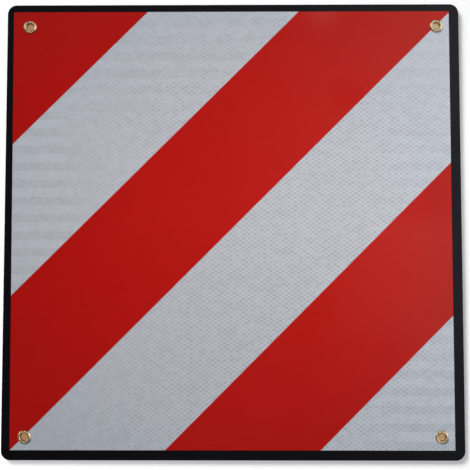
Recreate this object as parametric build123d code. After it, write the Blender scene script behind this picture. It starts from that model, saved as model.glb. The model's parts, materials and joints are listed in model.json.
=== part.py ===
from build123d import *
import math
import os

# Overhanging load sign: a black board with a striped reflective film and four brass eyelets.
# It lies on its back. +Z is the way the face looks, +Y is the sign's upper edge.
# The origin is at the middle of the outline, where the sign touches the ground. Lengths are millimetres.

# Board
board_side = 500.0
board_thickness = 3.0
board_corner_radius = 10.0
board_edge_round = 0.3

# Reflective film, with sharp corners, stuck on a little off centre. Its left edge was cut a little out of
# square, and each end of that edge lies this far from where a square's would.
film_margin = 9.5
film_thickness = 0.5
film_offset_x = -1.3
film_offset_y = 1.4
film_lean = 1.25

# Red bands, printed on the film at 45 degrees, with white bands as wide between them
band_step = 167.5
band_shift = -1.4
band_thickness = 0.1

# Brass eyelets, one near each corner, made from sheet. The flange rises in an arc from its rim to a crown, and
# turns down into the bore in a quarter circle. The crown is this share of the way from the bore to the rim.
eyelet_inset = 25.0
eyelet_bore_radius = 4.0
eyelet_metal = 0.4
eyelet_fit = 0.1
flange_radius = 7.25
flange_crown_share = 0.43
curl_radius = 0.9

# Dished brass washers at the back, which the ends of the eyelets are rolled over
washer_radius = 7.0
washer_height = 0.9
washer_metal = 0.4
washer_rim_width = 1.1

# Heights above the ground: the sign lies on the four rolled ends
washer_level = curl_radius
board_back = washer_level + washer_height
board_face = board_back + board_thickness
film_face = board_face + film_thickness
band_face = film_face + band_thickness

film_side = board_side - 2 * film_margin
flange_height = flange_crown_share * (flange_radius - eyelet_bore_radius)
barrel_radius = eyelet_bore_radius + eyelet_metal
hole_radius = barrel_radius + eyelet_fit

eyelet_reach = board_side / 2 - eyelet_inset
eyelet_places = {
    "top_left": (-eyelet_reach, eyelet_reach),
    "top_right": (eyelet_reach, eyelet_reach),
    "bottom_left": (-eyelet_reach, -eyelet_reach),
    "bottom_right": (eyelet_reach, -eyelet_reach),
}

# Each red band lies between two lines parallel to the film's rising diagonal. A line is given by its rise,
# which is how far above that diagonal it lies, measured upright. The upper band fills the film's corner.
band_edges = {
    "red_band_lower": (band_shift - 2 * band_step, band_shift - band_step),
    "red_band_middle": (band_shift, band_shift + band_step),
    "red_band_upper": (band_shift + 2 * band_step, film_side),
}


def eyelet_holes():
    """The four punched holes, which go through the board and the film alike."""
    return Sketch() + [Pos(x, y) * Circle(hole_radius) for x, y in eyelet_places.values()]


def make_board():
    """The black board, with its outer edges just broken."""
    board = extrude(RectangleRounded(board_side, board_side, board_corner_radius), board_thickness)
    by_height = board.edges().group_by(Axis.Z)
    board = fillet(by_height[0] + by_height[-1], board_edge_round)
    board -= extrude(eyelet_holes(), board_thickness)
    return Pos(0, 0, board_back) * board


def film_outline():
    """The film's outline, where it is stuck."""
    half = film_side / 2
    corners = [(-half + film_lean, -half), (half, -half), (half, half), (-half - film_lean, half)]
    return Pos(film_offset_x, film_offset_y) * Polygon(*corners, align=None)


def make_film():
    """The white film, punched with the board."""
    return Pos(0, 0, board_face) * extrude(film_outline() - eyelet_holes(), film_thickness)


def make_band(low, high):
    """A red band between two rises, trimmed by the film's outline and punched with it."""
    middle = (low + high) / 2
    place = Pos(film_offset_x - middle / 2, film_offset_y + middle / 2) * Rot(0, 0, 45)
    strip = place * Rectangle(2 * film_side, (high - low) / math.sqrt(2))
    return Pos(0, 0, film_face) * extrude((film_outline() & strip) - eyelet_holes(), band_thickness)


def flange_seat(x, y):
    """The height that a flange lies at: on a red band if it reaches over one, and otherwise on the film."""
    rise = (y - film_offset_y) - (x - film_offset_x)
    reach = flange_radius * math.sqrt(2)
    on_band = any(low - reach < rise < high + reach for low, high in band_edges.values())
    return band_face if on_band else film_face


def crown_radius(width, height):
    """The radius of an arc that starts level and falls by height over width."""
    return (width**2 + height**2) / (2 * height)


def foot_angle(depth, radius):
    """The angle, up from level, at which an arc of this radius meets the plane that far over its middle."""
    return math.degrees(math.asin(depth / radius))


def turned(outline):
    """The solid that an outline in the XZ plane makes when it is turned round Z."""
    with BuildPart() as solid:
        with BuildSketch(Plane.XZ):
            with BuildLine():
                add(outline)
            make_face()
        revolve(axis=Axis.Z)
    return solid.part


def make_eyelet(x, y):
    """A brass eyelet: a domed flange on the face, a straight barrel, and its end rolled over the washer."""
    seat = flange_seat(x, y)
    top = seat + flange_height
    lip_middle = eyelet_bore_radius + flange_height
    dome_radius = crown_radius(flange_radius - lip_middle, flange_height)
    dome_level = top - dome_radius
    curl_middle = eyelet_bore_radius + curl_radius

    def dome(radius):
        foot = foot_angle(seat - dome_level, radius)
        return CenterArc((lip_middle, dome_level), radius, foot, 90 - foot)

    def lip(radius):
        return CenterArc((lip_middle, seat), radius, 90, 90)

    def curl(radius):
        return CenterArc((curl_middle, washer_level), radius, 180, 180)

    shown = [dome(dome_radius), lip(flange_height), curl(curl_radius)]
    hidden = [dome(dome_radius - eyelet_metal), lip(flange_height - eyelet_metal), curl(curl_radius - eyelet_metal)]
    barrel = [Line(side[1] @ 1, side[2] @ 0) for side in (shown, hidden)]
    ends = [Line(shown[0] @ 0, hidden[0] @ 0), Line(shown[2] @ 1, hidden[2] @ 1)]
    return Pos(x, y) * turned(shown + hidden + barrel + ends)


def make_washer(x, y):
    """A dished brass washer: a flat ring that the eyelet is rolled over, and a rim bent up to the board."""
    flat_radius = washer_radius - washer_rim_width
    rim_radius = crown_radius(washer_rim_width, washer_height)
    rim_level = washer_level + rim_radius

    def rim(radius):
        foot = foot_angle(rim_level - board_back, radius)
        return CenterArc((flat_radius, rim_level), radius, -90, 90 - foot)

    rims = [rim(rim_radius), rim(rim_radius - washer_metal)]
    flats = [Line((hole_radius, (side @ 0).Y), side @ 0) for side in rims]
    ends = [Line(flats[0] @ 0, flats[1] @ 0), Line(rims[0] @ 1, rims[1] @ 1)]
    return Pos(x, y) * turned(rims + flats + ends)


def main():
    nodes = {"board": make_board(), "white_film": make_film()}
    for name, (low, high) in band_edges.items():
        nodes[name] = make_band(low, high)
    for corner, (x, y) in eyelet_places.items():
        nodes["eyelet_" + corner] = make_eyelet(x, y)
        nodes["washer_" + corner] = make_washer(x, y)
    os.makedirs("parts", exist_ok=True)
    for name, shape in nodes.items():
        export_step(shape, f"parts/{name}.step")
        print(name, round(shape.volume, 1))


main()
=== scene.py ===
# %% [markdown]
# An overhanging load sign, lying on its back and seen from straight above. On the real thing a black plastic
# board carries one square of prismatic reflective film, red bands are printed over the film, and four brass
# eyelets go through the lot, one near each corner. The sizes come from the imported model, so that model is
# loaded first and everything here is fitted to it.

import json
import math

import bpy
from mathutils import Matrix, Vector


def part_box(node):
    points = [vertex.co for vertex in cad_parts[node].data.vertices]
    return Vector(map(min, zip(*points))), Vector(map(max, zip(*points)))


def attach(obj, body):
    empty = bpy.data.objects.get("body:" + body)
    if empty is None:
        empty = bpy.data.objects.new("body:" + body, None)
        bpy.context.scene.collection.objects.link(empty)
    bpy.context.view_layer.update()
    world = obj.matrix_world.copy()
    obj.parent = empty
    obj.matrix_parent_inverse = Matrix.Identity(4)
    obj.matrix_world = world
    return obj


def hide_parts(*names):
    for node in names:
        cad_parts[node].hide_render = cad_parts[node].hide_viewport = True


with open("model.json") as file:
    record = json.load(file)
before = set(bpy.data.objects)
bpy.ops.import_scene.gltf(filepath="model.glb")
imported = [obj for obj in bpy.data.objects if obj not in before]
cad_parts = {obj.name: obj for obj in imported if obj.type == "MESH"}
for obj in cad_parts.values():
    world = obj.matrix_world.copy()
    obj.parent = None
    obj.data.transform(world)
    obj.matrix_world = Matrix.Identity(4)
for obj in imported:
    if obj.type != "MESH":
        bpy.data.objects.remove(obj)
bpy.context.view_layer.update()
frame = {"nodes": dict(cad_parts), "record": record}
print("nodes:", sorted(frame["nodes"]))

# %% [markdown]
# Lengths are metres. The boxes of the nodes give the outlines and the heights of the layers, and the record's
# mounts give the eyelets' clear radius, so none of that is typed in again here. The middle of the sign is the
# origin, x runs to the right in the picture, y up and z towards the camera.

# %% Sizes from the frame
MM = 0.001

board_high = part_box("board")[1]
film_low, film_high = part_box("white_film")

corners = ("top_left", "top_right", "bottom_left", "bottom_right")
eyelet_middle = {}
for corner in corners:
    low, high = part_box("eyelet_" + corner)
    eyelet_middle[corner] = (low + high) / 2
bore_radius = frame["record"]["mounts"][0]["dims"]["r_mm"] * MM
print("half the board:", board_high.x, "film:", film_low.x, "to", film_high.x, "bore radius:", bore_radius)

# %% [markdown]
# A finish is a network of small nodes. Written out one by one they hide the idea, so two small classes come
# first: a Wire is one socket, and Python's own signs on wires add the Math nodes. A Bench holds the material
# and adds any other node from its type, its settings and what goes into its sockets.

# %% A bench for building finishes


class Wire:
    """One socket of a finish that is being built. Arithmetic on wires adds Math nodes."""

    def __init__(self, bench, socket):
        self.bench = bench
        self.socket = socket

    def maths(self, operation, *terms):
        return self.bench.add("ShaderNodeMath", {"operation": operation}, dict(enumerate(terms)))

    def __add__(self, other):
        return self.maths("ADD", self, other)

    def __radd__(self, other):
        return self.maths("ADD", other, self)

    def __sub__(self, other):
        return self.maths("SUBTRACT", self, other)

    def __rsub__(self, other):
        return self.maths("SUBTRACT", other, self)

    def __mul__(self, other):
        return self.maths("MULTIPLY", self, other)

    def __rmul__(self, other):
        return self.maths("MULTIPLY", other, self)

    def __truediv__(self, other):
        return self.maths("DIVIDE", self, other)

    def __mod__(self, other):
        return self.maths("FLOORED_MODULO", self, other)

    def __abs__(self):
        return self.maths("ABSOLUTE", self)

    def above(self, other):
        """1 where this is more than the other, and 0 elsewhere."""
        return self.maths("GREATER_THAN", self, other)

    def below(self, other):
        """1 where this is less than the other, and 0 elsewhere."""
        return self.maths("LESS_THAN", self, other)

    def highest(self, other):
        return self.maths("MAXIMUM", self, other)

    def lowest(self, other):
        return self.maths("MINIMUM", self, other)

    def whole(self):
        """The whole number at or under this value."""
        return self.maths("FLOOR", self)

    def wave(self):
        """A smooth wave, 1 at every whole number and 0 halfway between them."""
        return self.maths("COSINE", self * math.tau) * 0.5 + 0.5


class Bench:
    """The nodes of a material or of the world."""

    def __init__(self, owner):
        self.owner = owner
        self.owner.use_nodes = True
        self.tree = self.owner.node_tree
        self.tree.nodes.clear()

    def add(self, kind, settings=None, sockets=None, output=0):
        """A node of this kind: its settings first, then a value or a wire for each socket."""
        node = self.tree.nodes.new(kind)
        for key, value in (settings or {}).items():
            setattr(node, key, value)
        for key, value in (sockets or {}).items():
            if isinstance(value, Wire):
                self.tree.links.new(value.socket, node.inputs[key])
            else:
                node.inputs[key].default_value = value
        return Wire(self, node.outputs[output]) if len(node.outputs) else None

    def position(self):
        """X, Y and Z on the sign, in metres."""
        point = self.add("ShaderNodeTexCoord", output="Object")
        return [self.add("ShaderNodeSeparateXYZ", None, {0: point}, axis) for axis in "XYZ"]

    def step(self, value, start, end, low=0.0, high=1.0):
        """A value that goes smoothly from low at start to high at end."""
        return self.add("ShaderNodeMapRange", {"interpolation_type": "SMOOTHSTEP"},
                        {"Value": value, "From Min": start, "From Max": end, "To Min": low, "To Max": high})

    def noise(self, size, detail=2.0, rough=0.5):
        """Cloudy noise from 0 to 1 whose patches are about as large as size."""
        point = self.add("ShaderNodeTexCoord", output="Object")
        return self.add("ShaderNodeTexNoise", None,
                        {"Vector": point, "Scale": 1 / size, "Detail": detail, "Roughness": rough})

    def blend(self, amount, first, second):
        """A colour between two colours."""
        return self.add("ShaderNodeMix", {"data_type": "RGBA"}, {0: amount, 6: first, 7: second}, 2)

    def tint(self, colour, tint):
        """A colour as it shows through a tint."""
        return self.add("ShaderNodeMix", {"data_type": "RGBA", "blend_type": "MULTIPLY"},
                        {0: 1.0, 6: colour, 7: tint}, 2)

    def bump(self, height, distance, strength=1.0):
        """A surface normal for a height from 0 to 1 that stands for this distance."""
        return self.add("ShaderNodeBump", None,
                        {"Height": height, "Distance": distance, "Strength": strength})

    def finish(self, **sockets):
        """The surface itself."""
        named = {key.replace("_", " "): value for key, value in sockets.items()}
        surface = self.add("ShaderNodeBsdfPrincipled", None, named)
        self.add("ShaderNodeOutputMaterial", None, {"Surface": surface})
        print("finish:", self.owner.name, "with", len(self.tree.nodes), "nodes")
        return self.owner


def dress(piece, material):
    """Gives the whole piece one finish."""
    piece.data.materials.clear()
    piece.data.materials.append(material)


# %% [markdown]
# The film is made of flat diamond-shaped cells, a few millimetres across, each sealed to its neighbours along
# a thin seam. The pattern is worked out from the position on the film: along both diagonals of a cell the
# position is divided by the cell's size, and a seam runs wherever that is a whole number. The cells shade off
# softly from their tips to their middles, so two waves along the diagonals do for the shade, and a weaker one
# across the sign deepens the middles and holds the tips back.

# %% Cells of the film
cell_width = 6.67 * MM
cell_height = 4.73 * MM
cell_corner = Vector((1.68 * MM, -1.02 * MM, 0))
seam_width = 0.7 * MM
cell_side = math.hypot(cell_width, cell_height) / 2
seam_gap = cell_width * cell_height / 2 / cell_side
seam_core = 0.35 * seam_width / seam_gap
seam_edge = 0.75 * seam_width / seam_gap
across_share = 0.14
print("a cell's side:", cell_side, "from seam to seam:", seam_gap)


def seam_pattern(bench):
    """Three wires: 1 on a seam, a soft shade that is highest at a cell's tips, and a tone for each cell."""
    x, y, z = bench.position()
    across = (x - cell_corner.x) / cell_width
    up = (y - cell_corner.y) / cell_height
    rising = across - up
    falling = across + up
    nearest = abs((rising + 0.5) % 1.0 - 0.5).lowest(abs((falling + 0.5) % 1.0 - 0.5))
    line = bench.step(nearest, seam_core, seam_edge, 1.0, 0.0)
    cell = bench.add("ShaderNodeCombineXYZ", None, {0: rising.whole(), 1: falling.whole()})
    tone = bench.add("ShaderNodeTexWhiteNoise", {"noise_dimensions": "2D"}, {"Vector": cell})
    soft = (rising.wave() + falling.wave()) * 0.5
    soft = soft - (rising + falling).wave() * across_share + across_share / 2
    return line, soft, tone


# %% [markdown]
# The cells lie one way up for two rows and the other way up for the next two. Near the edges of the sign,
# where they are seen aslant, one of the two ways throws back more light than the other, so faint level strips
# show there; their paleness is painted sheen in the colour. The cells themselves show most in the middle and
# fade towards the left and the top. Both are soft steps over the position on the sign, because the real film
# changes as gently as that.

# %% Strips near the edges
strip_pair = 4 * cell_height
strip_share = 0.53
strip_shift = 0.07
print("a pale and a dark strip together:", strip_pair)


def painted_strip_sheen(bench):
    """Painted sheen: how much paler or darker than the rest the strips are, and 0 where none show."""
    x, y, z = bench.position()
    row = (y - cell_corner.y) / strip_pair
    pale = ((row + strip_shift) % 1.0).below(strip_share)
    at_left = bench.step(x + y * 0.25, -0.175, -0.14, 1.0, 0.0) * bench.step(y, -0.14, -0.09)
    at_right = bench.step(x, 0.13, 0.20) * bench.step(y, 0.10, 0.15, 1.0, 0.0)
    at_right = at_right * bench.step(y, -0.19, -0.14, 1.3, 0.75) * bench.step(y, -0.14, 0.05, 1.0, 0.73)
    at_top = bench.step(y, 0.09, 0.17, 0.0, 0.57) * bench.step(y, 0.17, 0.22, 1.0, 0.65)
    at_top = at_top * bench.step(x, 0.12, 0.24, 1.0, 0.5)
    return (pale - strip_share) * (at_left + at_right - at_top)


def cell_contrast(bench):
    """How strongly the cells show: fully in the middle, less towards the edges, and least at the left."""
    x, y, z = bench.position()
    from_left = bench.step(x + y.highest(0.0) * 0.15, -0.26, 0.03, 0.05, 1.02)
    to_top = bench.step(y, 0.10, 0.22, 1.0, 0.40)
    to_right = bench.step(x, 0.13, 0.29, 1.0, 0.6)
    to_corner = bench.step(x - y, 0.28, 0.42, 1.0, 0.78)
    return from_left * to_top * to_right * to_corner


def outward(bench):
    """0 in the middle of the sign and 1 at its corners."""
    x, y, z = bench.position()
    return (x * x + y * y) / (2 * board_high.x ** 2)


# %% [markdown]
# The white film is a pale bluish grey, because it throws light back only to where it comes from. One level
# blends a dark and a pale grey: the cells and the strips move it most, each cell has a tone of its own, and
# wide clouds lie over it. It is raised towards the upper right corner and lowered towards the lower left one,
# which is painted light and painted shade, and a tint that is warmer in the middle and cooler towards the
# corners is a painted colour of the light. At the upper left the imported red band stops a millimetre short
# of the film's leaning corner, so that last tip of the film is given the red of the print.

# %% White film finish
skin_gloss = 0.2
film_dark = (0.402, 0.431, 0.486, 1)
film_pale = (0.555, 0.591, 0.663, 1)
film_middle_light_tint = (1.0, 0.95, 0.91, 1)
film_corner_light_tint = (0.98, 1.0, 1.0, 1)
line_share = 0.2
mean_shade = 0.47
strip_sheen_strength = 0.27
tone_strength = 0.22
tone_with_cells = 0.18
cloud_strength = 0.10
painted_corner_light = 0.16
printed_tip = 483.4 * MM
printed_red = (0.43, 0.004, 0.003, 1)


def make_white_film():
    bench = Bench(bpy.data.materials.new("white_prismatic_film"))
    line, soft, tone = seam_pattern(bench)
    shade = soft * (1 - line_share) + line * line_share
    cloud = bench.noise(60 * MM, 3.0)
    contrast = cell_contrast(bench)
    # The strips add painted sheen: one way up of the cells is made paler than the other.
    level = contrast * (shade - mean_shade) + painted_strip_sheen(bench) * strip_sheen_strength
    level = level + (tone - 0.5) * (contrast * tone_with_cells + tone_strength)
    level = level + (cloud - 0.5) * cloud_strength + 0.5
    x, y, z = bench.position()
    # Painted light towards the upper right corner and painted shade towards the lower left one.
    level = level + bench.step(x + y, 0.30, 0.45, 0.0, painted_corner_light)
    level = level - bench.step(x + y, -0.42, -0.24, painted_corner_light, 0.0)
    colour = bench.blend(level, film_dark, film_pale)
    # A painted colour of light: warmer in the middle, cooler towards the corners.
    colour = bench.tint(colour, bench.blend(outward(bench), film_middle_light_tint, film_corner_light_tint))
    colour = bench.blend((y - x).above(printed_tip), colour, printed_red)
    rough = 0.15 + line * 0.10
    normal = bench.bump(line * 0.6 + bench.noise(0.9 * MM) * 0.4, 0.02 * MM, 0.5)
    return bench.finish(Base_Color=colour, Roughness=rough, Specular_IOR_Level=skin_gloss, Normal=normal)


white_film_finish = make_white_film()


# %% [markdown]
# The print is a thin even coat of red ink. The cells hardly show through it, so only their tones and a few
# clouds stir it. Towards the corners, and along the right edge below the top, it is made darker, which is
# painted shade. It dries smooth, so it mirrors the room faintly, with ripples too low to be seen in any other
# way.

# %% Red print finish
print_gloss = 0.3
print_dark = (0.440, 0.0039, 0.0030, 1)
print_pale = (0.499, 0.0046, 0.0036, 1)
print_middle_tint = (1.0, 1.0, 1.0, 1)
print_corner_painted_shade = (0.86, 0.95, 0.95, 1)


def make_red_print():
    bench = Bench(bpy.data.materials.new("red_print"))
    line, soft, tone = seam_pattern(bench)
    cloud = bench.noise(45 * MM, 3.0)
    level = (cloud - 0.5) * 0.5 + (tone - 0.5) * 0.28 + 0.5
    x, y, z = bench.position()
    # Painted shade: the print is made darker along the right edge below the top.
    edge = bench.step(x, 0.20, 0.236) * bench.step(y, 0.08, 0.15, 1.0, 0.0)
    level = level - edge * bench.step(y, -0.01, 0.02, 0.6, 1.3)
    colour = bench.blend(level, print_dark, print_pale)
    # Painted shade: the print is made darker towards the corners.
    colour = bench.tint(colour, bench.blend(outward(bench), print_middle_tint, print_corner_painted_shade))
    rough = 0.035 + line * 0.02 + bench.noise(8 * MM) * 0.02
    normal = bench.bump(bench.noise(2.5 * MM), 0.004 * MM, 0.5)
    return bench.finish(Base_Color=colour, Roughness=rough, Specular_IOR_Level=print_gloss, Normal=normal)


red_print_finish = make_red_print()


# %% [markdown]
# The board is a black plastic sheet with a fine grain, glossy enough to show the bluish light of the room as
# a dark grey. A plain black would look like a hole in the picture, so the grey comes from the gloss and the
# grain from a bump.

# %% Black board finish
board_gloss = 0.285
board_sheen = (0.67, 0.68, 1.0, 1)
board_dark = (0.0018, 0.0018, 0.0026, 1)
board_pale = (0.0030, 0.0030, 0.0042, 1)


def make_black_board():
    bench = Bench(bpy.data.materials.new("black_plastic"))
    grain = bench.noise(0.45 * MM, 3.0, 0.6)
    cloud = bench.noise(35 * MM, 4.0)
    colour = bench.blend(cloud, board_dark, board_pale)
    rough = 0.12 + cloud * 0.06 + grain * 0.04
    normal = bench.bump(grain, 0.02 * MM, 0.5)
    return bench.finish(Base_Color=colour, Roughness=rough, Specular_IOR_Level=board_gloss,
                        Specular_Tint=board_sheen, Normal=normal)


black_board_finish = make_black_board()


# %% [markdown]
# Eyelets and washers are pressed brass. Nearly all of its look is what it mirrors, so the colour only wavers
# a little, and small changes of roughness and a slight bump break the mirror up as handling does.

# %% Brass finish
brass_dark = (0.80, 0.61, 0.43, 1)
brass_pale = (0.90, 0.74, 0.58, 1)


def make_brass():
    bench = Bench(bpy.data.materials.new("brass"))
    cloud = bench.noise(3.5 * MM, 4.0, 0.6)
    fine = bench.noise(0.35 * MM, 2.0)
    colour = bench.blend(cloud, brass_dark, brass_pale)
    rough = 0.16 + cloud * 0.14 + fine * 0.06
    normal = bench.bump(cloud * 0.7 + fine * 0.3, 0.05 * MM, 0.5)
    return bench.finish(Base_Color=colour, Metallic=1.0, Roughness=rough, Normal=normal)


brass_finish = make_brass()

# %% [markdown]
# The cells can be seen and felt on the real film: the heat that seals them presses every seam in a little and
# leaves the cells standing. They could be drawn with a bump alone, but the film is looked at from low angles
# too, so they are modelled. A grid turned by 45 degrees and squeezed gives the diamonds. Every face is inset
# by half a seam and lifted, the rim of the sheet is drawn down to a flat underside, and a copy of the packed
# film trims the sheet to its outline and punches its holes.

# %% Helpers for modelling
weld_distance = 0.001 * MM


def deselect():
    bpy.ops.object.select_all(action="DESELECT")


def make_active(piece):
    deselect()
    piece.select_set(True)
    bpy.context.view_layer.objects.active = piece


def begin_edit(mode="VERT"):
    """Edit mode with the whole mesh selected."""
    bpy.ops.object.mode_set(mode="EDIT")
    bpy.ops.mesh.select_mode(type=mode)
    bpy.ops.mesh.select_all(action="SELECT")


def end_edit():
    bpy.ops.object.mode_set(mode="OBJECT")


def triangles(piece):
    return sum(len(face.vertices) - 2 for face in piece.data.polygons)


# %% A sheet of cells
seam_depth = 0.02 * MM
sheet_depth = 2 * MM
film_reach = max(abs(value) for corner in (film_low, film_high) for value in corner.xy) + cell_width


def make_cell_sheet():
    """A sheet of diamond cells around the middle of the sign, with the tops of the cells at height zero."""
    cells = 2 * math.ceil(film_reach / cell_width + film_reach / cell_height)
    middle = (cell_corner.x, cell_corner.y, -seam_depth)
    deselect()
    bpy.ops.mesh.primitive_grid_add(x_subdivisions=cells, y_subdivisions=cells,
                                    size=cells * cell_width / math.sqrt(2),
                                    location=middle, rotation=(0, 0, math.radians(45)))
    sheet = bpy.context.object
    bpy.ops.object.transform_apply(location=True, rotation=True, scale=True)
    begin_edit("FACE")
    bpy.ops.transform.resize(value=(1, cell_height / cell_width, 1), center_override=middle)
    bpy.ops.mesh.inset(thickness=seam_width / 2, use_individual=True)
    bpy.ops.transform.translate(value=(0, 0, seam_depth))
    bpy.ops.mesh.select_mode(type="EDGE")
    bpy.ops.mesh.select_all(action="DESELECT")
    bpy.ops.mesh.select_non_manifold()
    bpy.ops.mesh.extrude_region_move(TRANSFORM_OT_translate={"value": (0, 0, -sheet_depth)})
    bpy.ops.mesh.edge_face_add()
    bpy.ops.mesh.select_all(action="SELECT")
    bpy.ops.mesh.normals_make_consistent(inside=False)
    end_edit()
    print("cells along one side of the grid:", cells)
    return sheet


cell_sheet = make_cell_sheet()


# %% [markdown]
# The film and the three printed bands are all trimmed from that one sheet. It is copied, set just under the
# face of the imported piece, so that two faces never lie in one plane, and cut by a Boolean modifier.

# %% Film and bands trimmed from the sheet
skin = 0.002 * MM


def copied(piece, name):
    """A copy with a mesh of its own, in the scene and active."""
    twin = piece.copy()
    twin.data = piece.data.copy()
    twin.name = twin.data.name = name
    twin.parent = None
    bpy.context.scene.collection.objects.link(twin)
    make_active(twin)
    return twin


def trimmed_sheet(name, node):
    """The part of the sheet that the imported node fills."""
    cutter = copied(frame["nodes"][node], "cutter")
    begin_edit()
    bpy.ops.mesh.remove_doubles(threshold=weld_distance)
    end_edit()
    piece = copied(cell_sheet, name)
    begin_edit()
    bpy.ops.transform.translate(value=(0, 0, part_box(node)[1].z - skin))
    end_edit()
    trim = piece.modifiers.new("trim", "BOOLEAN")
    trim.operation = "INTERSECT"
    trim.solver = "MANIFOLD"
    trim.object = cutter
    bpy.ops.object.modifier_apply(modifier=trim.name)
    bpy.data.objects.remove(cutter)
    print(name, "triangles:", triangles(piece))
    return piece


def place(piece, node, finish):
    """Puts a finished piece on the sign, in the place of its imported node."""
    dress(piece, finish)
    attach(piece, "root")
    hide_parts(node)


place(trimmed_sheet("prismatic_film", "white_film"), "white_film", white_film_finish)
for band in ("lower", "middle", "upper"):
    print_piece = trimmed_sheet("red_print_" + band, "red_band_" + band)
    place(print_piece, "red_band_" + band, red_print_finish)
bpy.data.objects.remove(cell_sheet)

# %% [markdown]
# An eyelet is pressed from one piece of brass sheet: a domed flange on the face, a straight barrel through
# the sign, and an end that is rolled over the washer. It is round, so a ring of points is drawn out along
# the section, step by step, out over the dome, down the bore, round the roll and back inside the metal.

# %% The section of an eyelet
metal = 0.4 * MM
crown_share = 0.43
roll_radius = 0.9 * MM
outside_steps = {"dome": 14, "lip": 10, "roll": 14}
inside_steps = {"roll": 12, "lip": 8, "dome": 10}


def arc(middle, radius, start, end, steps):
    """Points on an arc, each a radius from the eyelet's axis and a height. Angles are degrees from level."""
    angles = [math.radians(start + (end - start) * step / steps) for step in range(steps + 1)]
    return [(middle[0] + radius * math.cos(angle), middle[1] + radius * math.sin(angle)) for angle in angles]


def eyelet_section(low, high):
    """The closed outline of the metal: from the dome's foot over the lip, round the roll and back inside."""
    flange_radius = (high.x - low.x) / 2
    lip_radius = crown_share * (flange_radius - bore_radius)
    lip = (bore_radius + lip_radius, high.z - lip_radius)
    dome_width = flange_radius - lip[0]
    dome_radius = (dome_width ** 2 + lip_radius ** 2) / (2 * lip_radius)
    dome = (lip[0], high.z - dome_radius)
    roll = (bore_radius + roll_radius, low.z + roll_radius)

    def foot(radius):
        return math.degrees(math.asin((dome_radius - lip_radius) / radius))

    outside = arc(dome, dome_radius, foot(dome_radius), 90, outside_steps["dome"])
    outside += arc(lip, lip_radius, 90, 180, outside_steps["lip"])[1:]
    outside += arc(roll, roll_radius, 180, 360, outside_steps["roll"])
    inside = arc(roll, roll_radius - metal, 360, 180, inside_steps["roll"])
    inside += arc(lip, lip_radius - metal, 180, 90, inside_steps["lip"])
    inside += arc(dome, dome_radius - metal, 90, foot(dome_radius - metal), inside_steps["dome"])[1:]
    return outside + inside


print("points on the section:", len(eyelet_section(*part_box("eyelet_top_left"))))


# %% Turned eyelets
eyelet_sides = 72
smooth_angle = math.radians(40)


def turned(name, section, middle):
    """A ring of points drawn out along a closed section, and joined up where it comes round again."""
    deselect()
    radius, height = section[0]
    bpy.ops.mesh.primitive_circle_add(vertices=eyelet_sides, radius=radius,
                                      location=(middle.x, middle.y, height))
    piece = bpy.context.object
    piece.name = name
    bpy.ops.object.transform_apply(location=True)
    begin_edit()
    for next_radius, next_height in section[1:] + section[:1]:
        bpy.ops.mesh.extrude_region_move(TRANSFORM_OT_translate={"value": (0, 0, next_height - height)})
        growth = next_radius / radius
        bpy.ops.transform.resize(value=(growth, growth, 1), center_override=(middle.x, middle.y, next_height))
        radius, height = next_radius, next_height
    bpy.ops.mesh.select_all(action="SELECT")
    bpy.ops.mesh.remove_doubles(threshold=weld_distance)
    bpy.ops.mesh.normals_make_consistent(inside=False)
    end_edit()
    bpy.ops.object.shade_smooth_by_angle(angle=smooth_angle)
    print(name, "triangles:", triangles(piece))
    return piece


for corner in corners:
    node = "eyelet_" + corner
    eyelet = turned("brass_" + node, eyelet_section(*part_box(node)), eyelet_middle[corner])
    place(eyelet, node, brass_finish)

# %% [markdown]
# The board and the four washers on its back are plain shapes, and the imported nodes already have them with
# their rounds and holes. Nothing would be won by making them again, so they stay and only get their finish.

# %% The nodes that stay
dress(frame["nodes"]["board"], black_board_finish)
for corner in corners:
    dress(frame["nodes"]["washer_" + corner], brass_finish)
print("kept as packed: the board and", len(corners), "washers")

# %% [markdown]
# The floor is plain and pale. Its own light for the camera makes it white where the lamps leave it a little
# under white, and the sign's shadow still shows on it. How bright the lamps leave each place is worked out
# from where it lies, as a gentle rise to the right and the top that falls off further out, so the floor adds
# just what is missing there. The surface that the sign was laid on is seen through the eyelets, where it is
# a warm tan. Under the sign the floor also glows for the camera at a set strength, a painted light that
# makes that tan brighter than the lamps leave it inside the bores.

# %% Floor
floor_size = 8.0
floor_drop = 0.02 * MM
floor_colour = 0.97
floor_white = 1.03
darkest_level = 0.6
rise_east = 0.124
rise_north = 0.082
fall_east = 0.037
fall_north = 0.168
under_reach = 0.24
under_painted_glow = 0.50
under_left = (0.48, 0.295, 0.143, 1)
under_right = (0.48, 0.395, 0.26, 1)


def make_floor():
    bench = Bench(bpy.data.materials.new("floor"))
    x, y, z = bench.position()
    under = (under_reach - abs(x).highest(abs(y))).above(0.0)
    tan = bench.blend(bench.step(x + y * 0.6, -0.1, 0.36), under_left, under_right)
    colour = bench.blend(under, (floor_colour, floor_colour, floor_colour, 1), tan)
    lit = bench.add("ShaderNodeBsdfDiffuse", None, {"Color": colour})
    east = x / board_high.x
    north = y / board_high.y
    level = 1.0 + east * rise_east + north * rise_north
    level = level - east * east * fall_east - north * north * fall_north
    lift = (floor_white / floor_colour - level.highest(darkest_level)).highest(0.0)
    # Under the sign the floor gets a painted glow that brightens the tan seen through the eyelets.
    lift = lift * (1.0 - under) + under * under_painted_glow
    seen = bench.add("ShaderNodeLightPath", output="Is Camera Ray")
    glow = bench.add("ShaderNodeEmission", None, {"Color": colour, "Strength": lift * seen})
    both = bench.add("ShaderNodeAddShader", None, {0: lit, 1: glow})
    bench.add("ShaderNodeOutputMaterial", None, {"Surface": both})
    return bench.owner


deselect()
bpy.ops.mesh.primitive_plane_add(size=floor_size, location=(0, 0, -floor_drop))
floor = bpy.context.object
floor.name = "floor"
dress(floor, make_floor())
print("floor:", floor.dimensions.xy[:], "at", -floor_drop)

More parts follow.
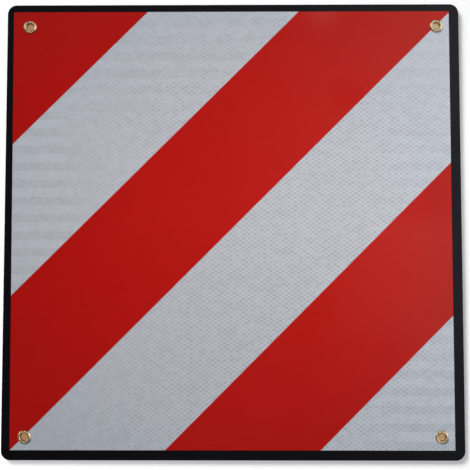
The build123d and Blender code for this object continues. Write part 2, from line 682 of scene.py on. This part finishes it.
# %% [markdown]
# The shadow of the sign is wide, soft and falls to the lower right, so the key is a broad low sun at the
# upper left. The right side of the sign is lit more than that alone would give, and a long narrow lamp that
# reaches from above the sign far out to the right makes up for it without a shadow of its own. Neither is
# seen in the gloss, because what the gloss mirrors is painted by the world.

# %% Lights


def aim(thing, target):
    """Turns a lamp or a camera so that it looks at a point."""
    thing.rotation_euler = (Vector(target) - thing.location).to_track_quat("-Z", "Y").to_euler()


def add_lamp(kind, name, where, target, energy, **settings):
    """A lamp that nothing glossy mirrors, aimed at its target."""
    lamp = bpy.data.lights.new(name, kind)
    lamp.energy = energy
    for key, value in settings.items():
        setattr(lamp, key, value)
    holder = bpy.data.objects.new(name, lamp)
    bpy.context.scene.collection.objects.link(holder)
    holder.location = where
    holder.visible_glossy = False
    aim(holder, target)
    print("lamp:", name, kind, "energy", round(energy, 3))


key_height = math.radians(31)
key_turn = math.radians(130)
key_softness = math.radians(29)
key_distance = 2
key_level = 0.565
key_flat = math.cos(key_height)
key_way = Vector((key_flat * math.cos(key_turn), key_flat * math.sin(key_turn), math.sin(key_height)))
add_lamp("SUN", "key", key_way * key_distance, (0, 0, 0), key_level * math.pi / math.sin(key_height),
         angle=key_softness)

fill_place = (0.58, 0.06, 0.40)
fill_target = (0.58, 0.06, 0)
fill_energy = 2.0
fill_length = 1.58
fill_width = 0.10
add_lamp("AREA", "fill", fill_place, fill_target, fill_energy,
         shape="RECTANGLE", size=fill_length, size_y=fill_width, use_shadow=False)

# %% [markdown]
# What the brass and the glossy print mirror matters as much as the lamps. The world paints it for glossy rays
# alone, and lights everything else evenly. A window that fades at its lower right, a small bright spot, two
# lights low down and two at the sides are soft round patches. Each is given by its degrees round from the
# right, its degrees down from overhead and its spread, times its strength. The ceiling is evenly lit in a
# circle overhead, less so at the left. On it lie a few plain dim areas with soft edges, which the red print
# shows faintly. They are laid out on a flat sheet overhead: a direction is divided by its height, so that
# straight edges stay straight in the mirror, and by no less than a small height near the horizon.

# %% Directions and patches


def way_to(azimuth, from_overhead):
    """A direction, from degrees round from the right and degrees down from straight up."""
    turn = math.radians(azimuth)
    lean = math.radians(from_overhead)
    return Vector((math.sin(lean) * math.cos(turn), math.sin(lean) * math.sin(turn), math.cos(lean)))


def patch(bench, way, azimuth, from_overhead, spread):
    """1 at a direction, and falling softly to 0 this many degrees away from it."""
    centre = way_to(azimuth, from_overhead)
    edge = math.cos(math.radians(spread))
    nearness = bench.add("ShaderNodeVectorMath", {"operation": "DOT_PRODUCT"}, {0: way, 1: centre}, "Value")
    share = bench.add("ShaderNodeMapRange", None, {"Value": nearness, "From Min": edge})
    return share * share * share


# %% The ceiling and its dim areas
least_height = 0.3
ceiling_low = 0.09


def dim_areas(bench, across, along):
    """1 where the ceiling is clear, and less in each of the three dim areas."""
    side = across - 0.0885
    rise = along - 0.2060
    dot = bench.step(side * side + rise * rise, 0.00010, 0.00036, 1.0, 0.0)
    band = bench.step(along, 0.092, 0.098) * bench.step(along, 0.16, 0.19, 1.0, 0.0)
    band = band * bench.step(across, 0.125, 0.14)
    strip_edge = bench.step(across, 0.070, 0.078, 0.042, -0.001)
    strip = bench.step(along - strip_edge, -0.005, 0.005, 1.0, 0.0)
    strip = strip * bench.step(across, 0.0, 0.05) * bench.step(across, 0.125, 0.155, 1.0, 0.0)
    return (1.0 - dot * 0.36) * (1.0 - band * 0.44) * (1.0 - strip * 0.34)


def ceiling_light(bench, across, along):
    """Even light in a circle overhead, dimmer at the left and brighter at the top, and a little all round."""
    from_left = bench.step(across, -0.14, -0.04, 0.055, 0.155)
    to_top = bench.step(along - across * 0.5, 0.28, 0.38, 0.0, 0.14)
    rise = along - 0.09
    circle = bench.step(across * across + rise * rise, 0.08, 0.14, 1.0, 0.0)
    return (from_left + to_top) * circle + ceiling_low


# %% World
room_level = 0.035
room_colour = (0.95, 0.97, 1.0, 1)
mirrored_colour = (1.0, 0.96, 0.76, 1)


def make_world():
    bench = Bench(bpy.data.worlds.new("studio"))
    way = bench.add("ShaderNodeTexCoord", output="Generated")
    east, north, up = [bench.add("ShaderNodeSeparateXYZ", None, {0: way}, axis) for axis in "XYZ"]
    across = east / up.highest(least_height)
    along = north / up.highest(least_height)

    window = patch(bench, way, 21, 26, 30) * 2.5
    window_edge = bench.step(across, 0.19, 0.30) * bench.step(along, -0.04, 0.14, 0.85, 0.0)
    window = window * (1.0 - window_edge)
    spot = patch(bench, way, 76.7, 16.1, 1.3) * 1.3
    low_light = patch(bench, way, 13, 89, 60) * 2.3 + patch(bench, way, 148, 68, 37) * 1.6
    side_light = patch(bench, way, 92, 33, 15) * 4.2 + patch(bench, way, 263, 32, 22) * 1.4
    overhead = (window + spot + ceiling_light(bench, across, along)) * dim_areas(bench, across, along)
    mirrored = overhead + low_light + side_light

    camera_ray = bench.add("ShaderNodeLightPath", output="Is Camera Ray")
    glossy_ray = bench.add("ShaderNodeLightPath", output="Is Glossy Ray")
    plain = camera_ray + (1.0 - camera_ray) * (1.0 - glossy_ray) * room_level
    even = bench.add("ShaderNodeBackground", None, {"Color": room_colour, "Strength": plain})
    warm = bench.add("ShaderNodeBackground", None,
                     {"Color": mirrored_colour, "Strength": glossy_ray * mirrored})
    both = bench.add("ShaderNodeAddShader", None, {0: even, 1: warm})
    bench.add("ShaderNodeOutputWorld", None, {"Surface": both})
    print("world with", len(bench.tree.nodes), "nodes")
    return bench.owner


bpy.context.scene.world = make_world()

# %% [markdown]
# The camera stands where the photograph was taken from. The four edges of the sign in the picture, taken as
# edges of one square, give its distance, its place a little below and right of the middle, its slight tilt
# in radians and the length of its lens in pixels. That length is turned into millimetres for a common sensor.

# %% Camera
photo_width = 470
focal_pixels = 1172.0
sensor = 36.0
camera_place = Vector((15.4 * MM, -113.5 * MM, board_high.z + 1275.8 * MM))
camera_turn = (0.08358, 0.01005, 0.0)
camera = bpy.data.cameras.new("camera")
camera.sensor_width = sensor
camera.lens = focal_pixels / photo_width * sensor
camera_holder = bpy.data.objects.new("camera", camera)
bpy.context.scene.collection.objects.link(camera_holder)
camera_holder.location = camera_place
camera_holder.rotation_euler = camera_turn
bpy.context.scene.camera = camera_holder
bpy.context.scene.view_settings.view_transform = "Standard"
print("lens:", round(camera.lens, 1), "mm")
